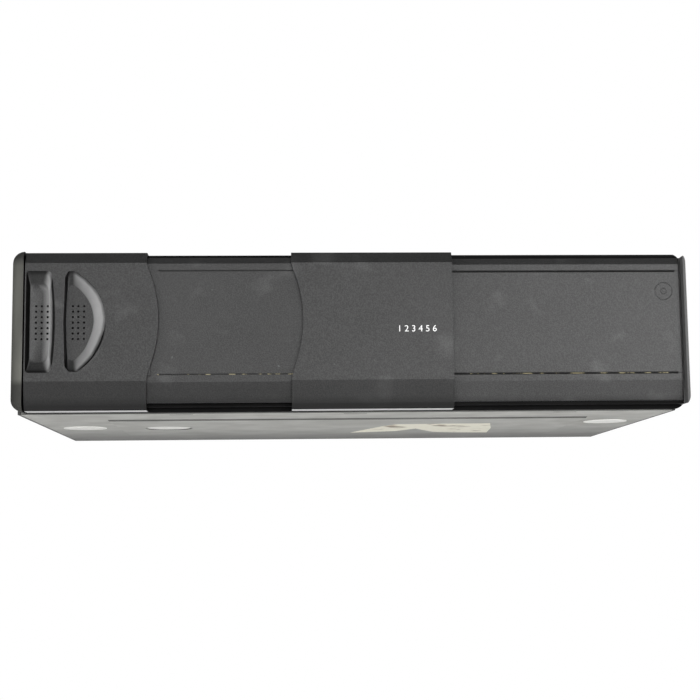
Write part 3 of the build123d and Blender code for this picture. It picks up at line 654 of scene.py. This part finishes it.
# %% Ring and hub on the fixed panel
RING_PLACE = (119.2 * MM, FRONT + 4.62 * MM, 45.8 * MM)
rings = []
for major, minor in ((3.3, 0.22), (1.1, 0.18)):
    bpy.ops.object.select_all(action="DESELECT")
    bpy.ops.mesh.primitive_torus_add(major_radius=major * MM, minor_radius=minor * MM,
                                     major_segments=64, minor_segments=10)
    ring = bpy.context.object
    bpy.ops.object.mode_set(mode="EDIT")
    bpy.ops.mesh.select_all(action="SELECT")
    bpy.ops.transform.resize(value=(1, 1, 0.6))
    bpy.ops.object.mode_set(mode="OBJECT")
    ring.data.transform(Matrix.Rotation(radians(90), 4, "X"))
    ring.data.transform(Matrix.Translation(RING_PLACE))
    bpy.ops.object.shade_smooth()
    rings.append(ring)
only(rings[0])
rings[1].select_set(True)
bpy.ops.object.join()
dress(bpy.context.object, "disc_mark", "case", "panel_plastic")

# %% [markdown]
# ## Room, light and camera
# The camera stands lower than the object and looks up at it, so the floor lies well below. The
# floor and the world show white to the camera, and the light itself stays plain and soft.

# %% Floor
FLOOR_Z = -0.16
bpy.ops.object.select_all(action="DESELECT")
bpy.ops.mesh.primitive_plane_add(size=8, location=(0, 0, 0))
floor = bpy.context.object
floor.data.transform(Matrix.Translation((0, 0, FLOOR_Z)))
floor.name = "studio_floor"
floor_look = Finish("studio_floor", 0.9)
floor_look.coloured(floor_look.blended(floor_look.noise(3, 0.3, 0.7), linear(238), linear(240)))
white = floor_look.add("ShaderNodeEmission")
paths = floor_look.add("ShaderNodeLightPath")
seen = floor_look.add("ShaderNodeMixShader")
either = floor_look.add("ShaderNodeMath", operation="MAXIMUM")
floor_look.join(paths.outputs["Is Camera Ray"], either.inputs[0])
floor_look.join(paths.outputs["Is Glossy Ray"], either.inputs[1])
floor_look.join(either.outputs[0], seen.inputs["Fac"])
floor_look.join(floor_look.shader.outputs["BSDF"], seen.inputs[1])
floor_look.join(white.outputs["Emission"], seen.inputs[2])
surface = floor_look.tree.nodes["Material Output"].inputs["Surface"]
floor_look.join(seen.outputs["Shader"], surface)
floor.data.materials.append(floor_look.material)
print("floor at", FLOOR_Z)

# %% [markdown]
# A photograph taken on a white sheet has soft light from every side. The world gives a weak, even
# part of it, and area lamps give the rest: softboxes in front, left and right, one behind, and two
# low ones that stand for the light thrown back up by the sheet.

# %% World and lamps
WORLD_LIGHT, BACKDROP_LIGHT = 0.32, 1.0
world = bpy.data.worlds.new("studio")
bpy.context.scene.world = world
world.use_nodes = True
tree = world.node_tree
tree.nodes.clear()
output = tree.nodes.new("ShaderNodeOutputWorld")
plain = tree.nodes.new("ShaderNodeBackground")
plain.inputs["Color"].default_value = (1, 1, 1, 1)
plain.inputs["Strength"].default_value = WORLD_LIGHT
backdrop = tree.nodes.new("ShaderNodeBackground")
backdrop.inputs["Color"].default_value = (1, 1, 1, 1)
backdrop.inputs["Strength"].default_value = BACKDROP_LIGHT
rays = tree.nodes.new("ShaderNodeLightPath")
choose = tree.nodes.new("ShaderNodeMixShader")
tree.links.new(rays.outputs["Is Camera Ray"], choose.inputs["Fac"])
tree.links.new(plain.outputs["Background"], choose.inputs[1])
tree.links.new(backdrop.outputs["Background"], choose.inputs[2])
tree.links.new(choose.outputs["Shader"], output.inputs["Surface"])


def lamp(name, place, aim, wide, tall, watts):
    """A rectangular area lamp that looks at the point aim."""
    data = bpy.data.lights.new(name, "AREA")
    data.shape = "RECTANGLE"
    data.size = wide
    data.size_y = tall
    data.energy = watts
    thing = bpy.data.objects.new(name, data)
    thing.location = place
    thing.rotation_euler = (Vector(aim) - Vector(place)).to_track_quat("-Z", "Y").to_euler()
    bpy.context.scene.collection.objects.link(thing)
    return thing


lamp("front_softbox", (0.10, -1.35, 0.20), (0, -0.08, 0.03), 1.3, 0.34, 4.6)
lamp("left_softbox", (-0.95, -0.75, 0.10), (-0.08, -0.08, 0.03), 0.45, 0.5, 3.4)
lamp("right_softbox", (0.62, -1.20, 0.22), (0.08, -0.08, 0.03), 0.5, 0.5, 3.6)
low_fill = lamp("low_fill", (-0.1, -1.0, -0.13), (0, -0.02, -0.05), 0.8, 0.1, 2.0)
floor_glow = lamp("floor_glow", (0.05, -0.34, -0.155), (0.0, -0.10, 0.0), 0.7, 0.3, 2.3)
for hidden in (low_fill, floor_glow):
    hidden.visible_camera = False
    hidden.visible_glossy = False
lamp("back_fill", (-0.6, 1.3, 1.0), (0, 0, 0.03), 1.0, 1.0, 2.0)
print("six lamps")

# %% [markdown]
# The camera stands where the photographer's did: its place was fitted to corners of the object in
# the picture. Three angles are easy to apply in the wrong order, so the camera's own right, up and
# forward directions are worked out here and become the columns of its matrix.

# %% Camera at the photograph's angle
CAMERA_PLACE = Vector((-0.0274, -0.6116, -0.0447))
YAW, PITCH, ROLL = radians(2.79), radians(7.29), radians(-0.65)
LENS_PIXELS, FRAME_PIXELS, SENSOR = 1427.8, 700, 36.0
flat_right = Vector((cos(YAW), -sin(YAW), 0))
forward = Vector((sin(YAW) * cos(PITCH), cos(YAW) * cos(PITCH), sin(PITCH)))
flat_up = flat_right.cross(forward)
right = cos(ROLL) * flat_right + sin(ROLL) * flat_up
up = cos(ROLL) * flat_up - sin(ROLL) * flat_right
optics = bpy.data.cameras.new("photo_camera")
optics.sensor_width = SENSOR
optics.lens = SENSOR * LENS_PIXELS / FRAME_PIXELS
camera = bpy.data.objects.new("photo_camera", optics)
turned = Matrix((right, up, -forward)).transposed().to_4x4()
camera.matrix_world = Matrix.Translation(CAMERA_PLACE) @ turned
bpy.context.scene.collection.objects.link(camera)
bpy.context.scene.camera = camera
bpy.context.scene.view_settings.view_transform = "Standard"
print("lens", round(optics.lens, 2), "mm")
